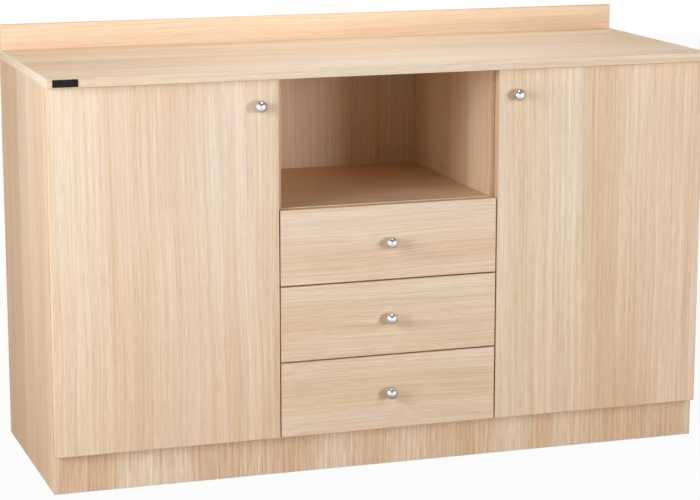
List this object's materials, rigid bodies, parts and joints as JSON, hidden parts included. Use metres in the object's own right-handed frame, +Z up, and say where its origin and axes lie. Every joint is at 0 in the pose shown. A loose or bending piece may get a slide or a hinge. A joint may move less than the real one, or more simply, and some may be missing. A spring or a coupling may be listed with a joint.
{
  "type": "waiter service station",
  "caption": "Freestanding wood-laminate service cabinet with hinged cupboard doors, an open niche, a stack of drawers, ball knobs and a low rear upstand.",
  "frame": {"origin": "on the floor, below the middle of the station's bounding box", "axes": "+X along the worktop to the right as seen from the front, -Y out of the front, +Z up"},
  "size_m": [1.4, 0.527, 0.89],
  "materials": {
    "oak_laminate": "satin wood-grain laminate",
    "oak_laminate_top": "satin wood-grain laminate",
    "drawer_box_board": "plain satin laminate",
    "hardboard": "plain matt",
    "beech_dowel": "fluted beech",
    "polished_chrome": "polished",
    "zinc_steel": "bright zinc",
    "nickel_steel": "nickel plated",
    "black_plate": "gloss",
    "clear_buffer": "soft"
  },
  "bodies": {
    "cabinet": {"blank_edge_plate": "black_plate", "bottom_panel": "oak_laminate", "cabinet_slide_members": "zinc_steel", "cam_fittings": "zinc_steel", "cupboard_shelves": "oak_laminate", "door_buffers": "clear_buffer", "hinge_arms": "nickel_steel", "hinge_mounting_plates": "nickel_steel", "left_back_panel": "oak_laminate", "left_divider": "oak_laminate", "left_side_panel": "oak_laminate", "niche_back_panel": "oak_laminate", "niche_shelf": "oak_laminate", "plinth_board": "oak_laminate", "plinth_cross_supports": "oak_laminate", "rear_plinth_board": "oak_laminate", "right_back_panel": "oak_laminate", "right_divider": "oak_laminate", "right_side_panel": "oak_laminate", "shelf_pins": "zinc_steel", "upstand": "oak_laminate_top", "wooden_dowels": "beech_dowel", "worktop": "oak_laminate_top"},
    "left_hinge_links": {"left_door_hinge_links": "nickel_steel"},
    "left_door": {"left_door_panel": "oak_laminate", "left_door_knob": "polished_chrome", "left_door_hinge_cups": "nickel_steel", "left_door_screws": "zinc_steel"},
    "right_hinge_links": {"right_door_hinge_links": "nickel_steel"},
    "right_door": {"right_door_panel": "oak_laminate", "right_door_knob": "polished_chrome", "right_door_hinge_cups": "nickel_steel", "right_door_screws": "zinc_steel"},
    "lower_drawer_intermediates": {"lower_drawer_intermediate_members": "zinc_steel"},
    "lower_drawer": {"lower_drawer_back": "drawer_box_board", "lower_drawer_bottom": "hardboard", "lower_drawer_fixings": "zinc_steel", "lower_drawer_front": "oak_laminate", "lower_drawer_knob": "polished_chrome", "lower_drawer_left_side": "drawer_box_board", "lower_drawer_right_side": "drawer_box_board", "lower_drawer_slide_members": "zinc_steel"},
    "middle_drawer_intermediates": {"middle_drawer_intermediate_members": "zinc_steel"},
    "middle_drawer": {"middle_drawer_back": "drawer_box_board", "middle_drawer_bottom": "hardboard", "middle_drawer_fixings": "zinc_steel", "middle_drawer_front": "oak_laminate", "middle_drawer_knob": "polished_chrome", "middle_drawer_left_side": "drawer_box_board", "middle_drawer_right_side": "drawer_box_board", "middle_drawer_slide_members": "zinc_steel"},
    "upper_drawer_intermediates": {"upper_drawer_intermediate_members": "zinc_steel"},
    "upper_drawer": {"upper_drawer_back": "drawer_box_board", "upper_drawer_bottom": "hardboard", "upper_drawer_fixings": "zinc_steel", "upper_drawer_front": "oak_laminate", "upper_drawer_knob": "polished_chrome", "upper_drawer_left_side": "drawer_box_board", "upper_drawer_right_side": "drawer_box_board", "upper_drawer_slide_members": "zinc_steel"}
  },
  "joints": [
    {"name": "left_door_hinge", "type": "hinge", "parent": "left_hinge_links", "child": "left_door", "pos_m": [-0.6817, -0.2232, 0], "axis": [0, 0, -1], "range_deg": [0, 154.1]},
    {"name": "left_hinge_link_pivot", "type": "hinge", "parent": "cabinet", "child": "left_hinge_links", "pos_m": [-0.6624, -0.2282, 0], "axis": [0, 0, 1], "range_deg": [0, 54.1]},
    {"name": "right_door_hinge", "type": "hinge", "parent": "right_hinge_links", "child": "right_door", "pos_m": [0.6817, -0.2232, 0], "axis": [0, 0, 1], "range_deg": [0, 154.1]},
    {"name": "right_hinge_link_pivot", "type": "hinge", "parent": "cabinet", "child": "right_hinge_links", "pos_m": [0.6624, -0.2282, 0], "axis": [0, 0, -1], "range_deg": [0, 54.1]},
    {"name": "lower_drawer_slide", "type": "slide", "parent": "cabinet", "child": "lower_drawer", "axis": [0, -1, 0], "range_m": [0, 0.4]},
    {"name": "lower_drawer_intermediate_slide", "type": "slide", "parent": "cabinet", "child": "lower_drawer_intermediates", "axis": [0, -1, 0], "range_m": [0, 0.2]},
    {"name": "middle_drawer_slide", "type": "slide", "parent": "cabinet", "child": "middle_drawer", "axis": [0, -1, 0], "range_m": [0, 0.4]},
    {"name": "middle_drawer_intermediate_slide", "type": "slide", "parent": "cabinet", "child": "middle_drawer_intermediates", "axis": [0, -1, 0], "range_m": [0, 0.2]},
    {"name": "upper_drawer_slide", "type": "slide", "parent": "cabinet", "child": "upper_drawer", "axis": [0, -1, 0], "range_m": [0, 0.4]},
    {"name": "upper_drawer_intermediate_slide", "type": "slide", "parent": "cabinet", "child": "upper_drawer_intermediates", "axis": [0, -1, 0], "range_m": [0, 0.2]}
  ],
  "couplings": [
    {"joint": "left_hinge_link_pivot", "follows": "left_door_hinge", "ratio": 0.35107},
    {"joint": "right_hinge_link_pivot", "follows": "right_door_hinge", "ratio": 0.35107},
    {"joint": "lower_drawer_intermediate_slide", "follows": "lower_drawer_slide", "ratio": 0.5},
    {"joint": "middle_drawer_intermediate_slide", "follows": "middle_drawer_slide", "ratio": 0.5},
    {"joint": "upper_drawer_intermediate_slide", "follows": "upper_drawer_slide", "ratio": 0.5}
  ]
}
